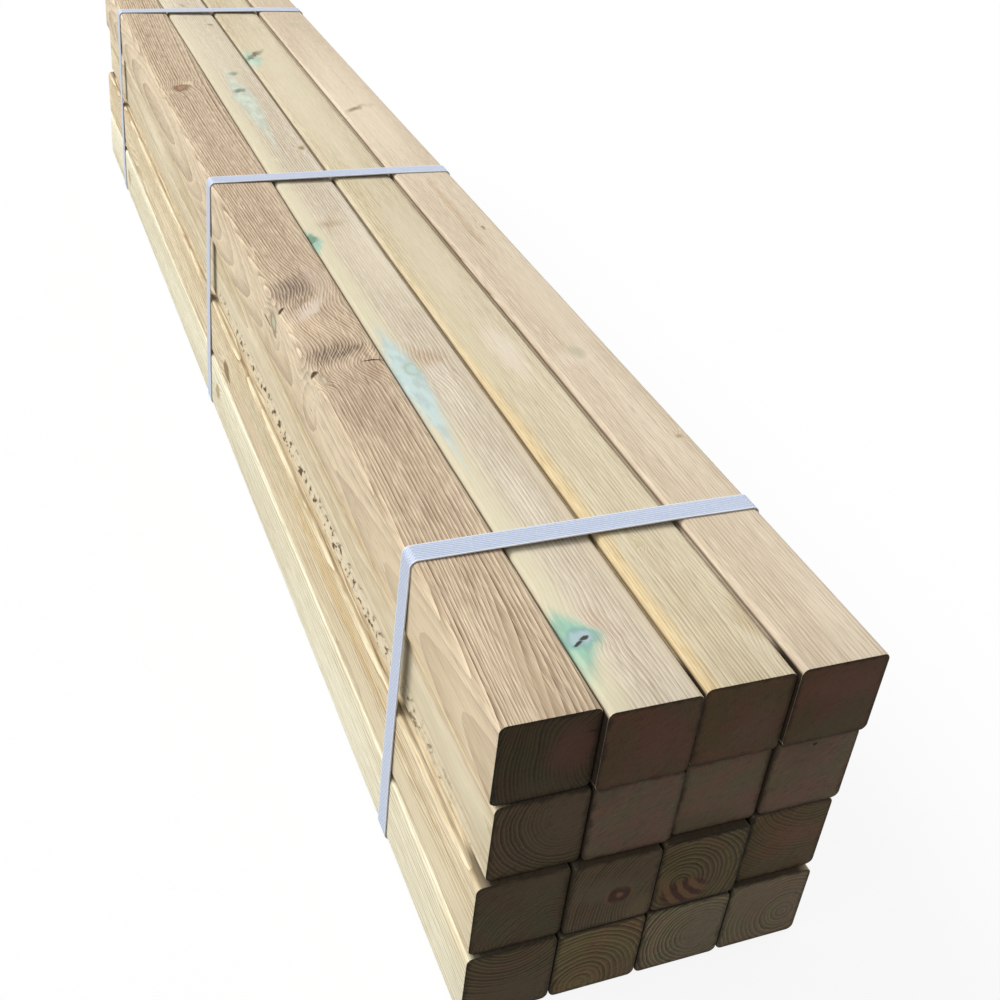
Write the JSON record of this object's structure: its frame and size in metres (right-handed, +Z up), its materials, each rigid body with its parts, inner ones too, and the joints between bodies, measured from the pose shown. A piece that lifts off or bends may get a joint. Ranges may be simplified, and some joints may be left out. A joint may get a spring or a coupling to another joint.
{
  "type": "bundle of pine studs",
  "caption": "Bundle of square planed pine studs with eased arrises, laid in layers and held together by plastic straps, lying on the floor.",
  "frame": {"origin": "middle of the bundle's footprint, on the floor under the straps", "axes": "+Y along the studs from the near end to the far end, +X to the right across the bundle, +Z up"},
  "size_m": [0.291, 1.806, 0.2892],
  "materials": {
    "pine": "planed and pressure treated, unfinished",
    "strapping": "satin with a fine embossed hatch"
  },
  "bodies": {
    "root": {"stud_layer1_1": "pine", "stud_layer1_2": "pine", "stud_layer1_3": "pine", "stud_layer1_4": "pine", "stud_layer2_1": "pine", "stud_layer2_2": "pine", "stud_layer2_3": "pine", "stud_layer2_4": "pine", "stud_layer3_1": "pine", "stud_layer3_2": "pine", "stud_layer3_3": "pine", "stud_layer3_4": "pine", "stud_layer4_1": "pine", "stud_layer4_2": "pine", "stud_layer4_3": "pine", "stud_layer4_4": "pine", "strap_near": "strapping", "strap_middle": "strapping", "strap_far": "strapping"}
  },
  "joints": []
}
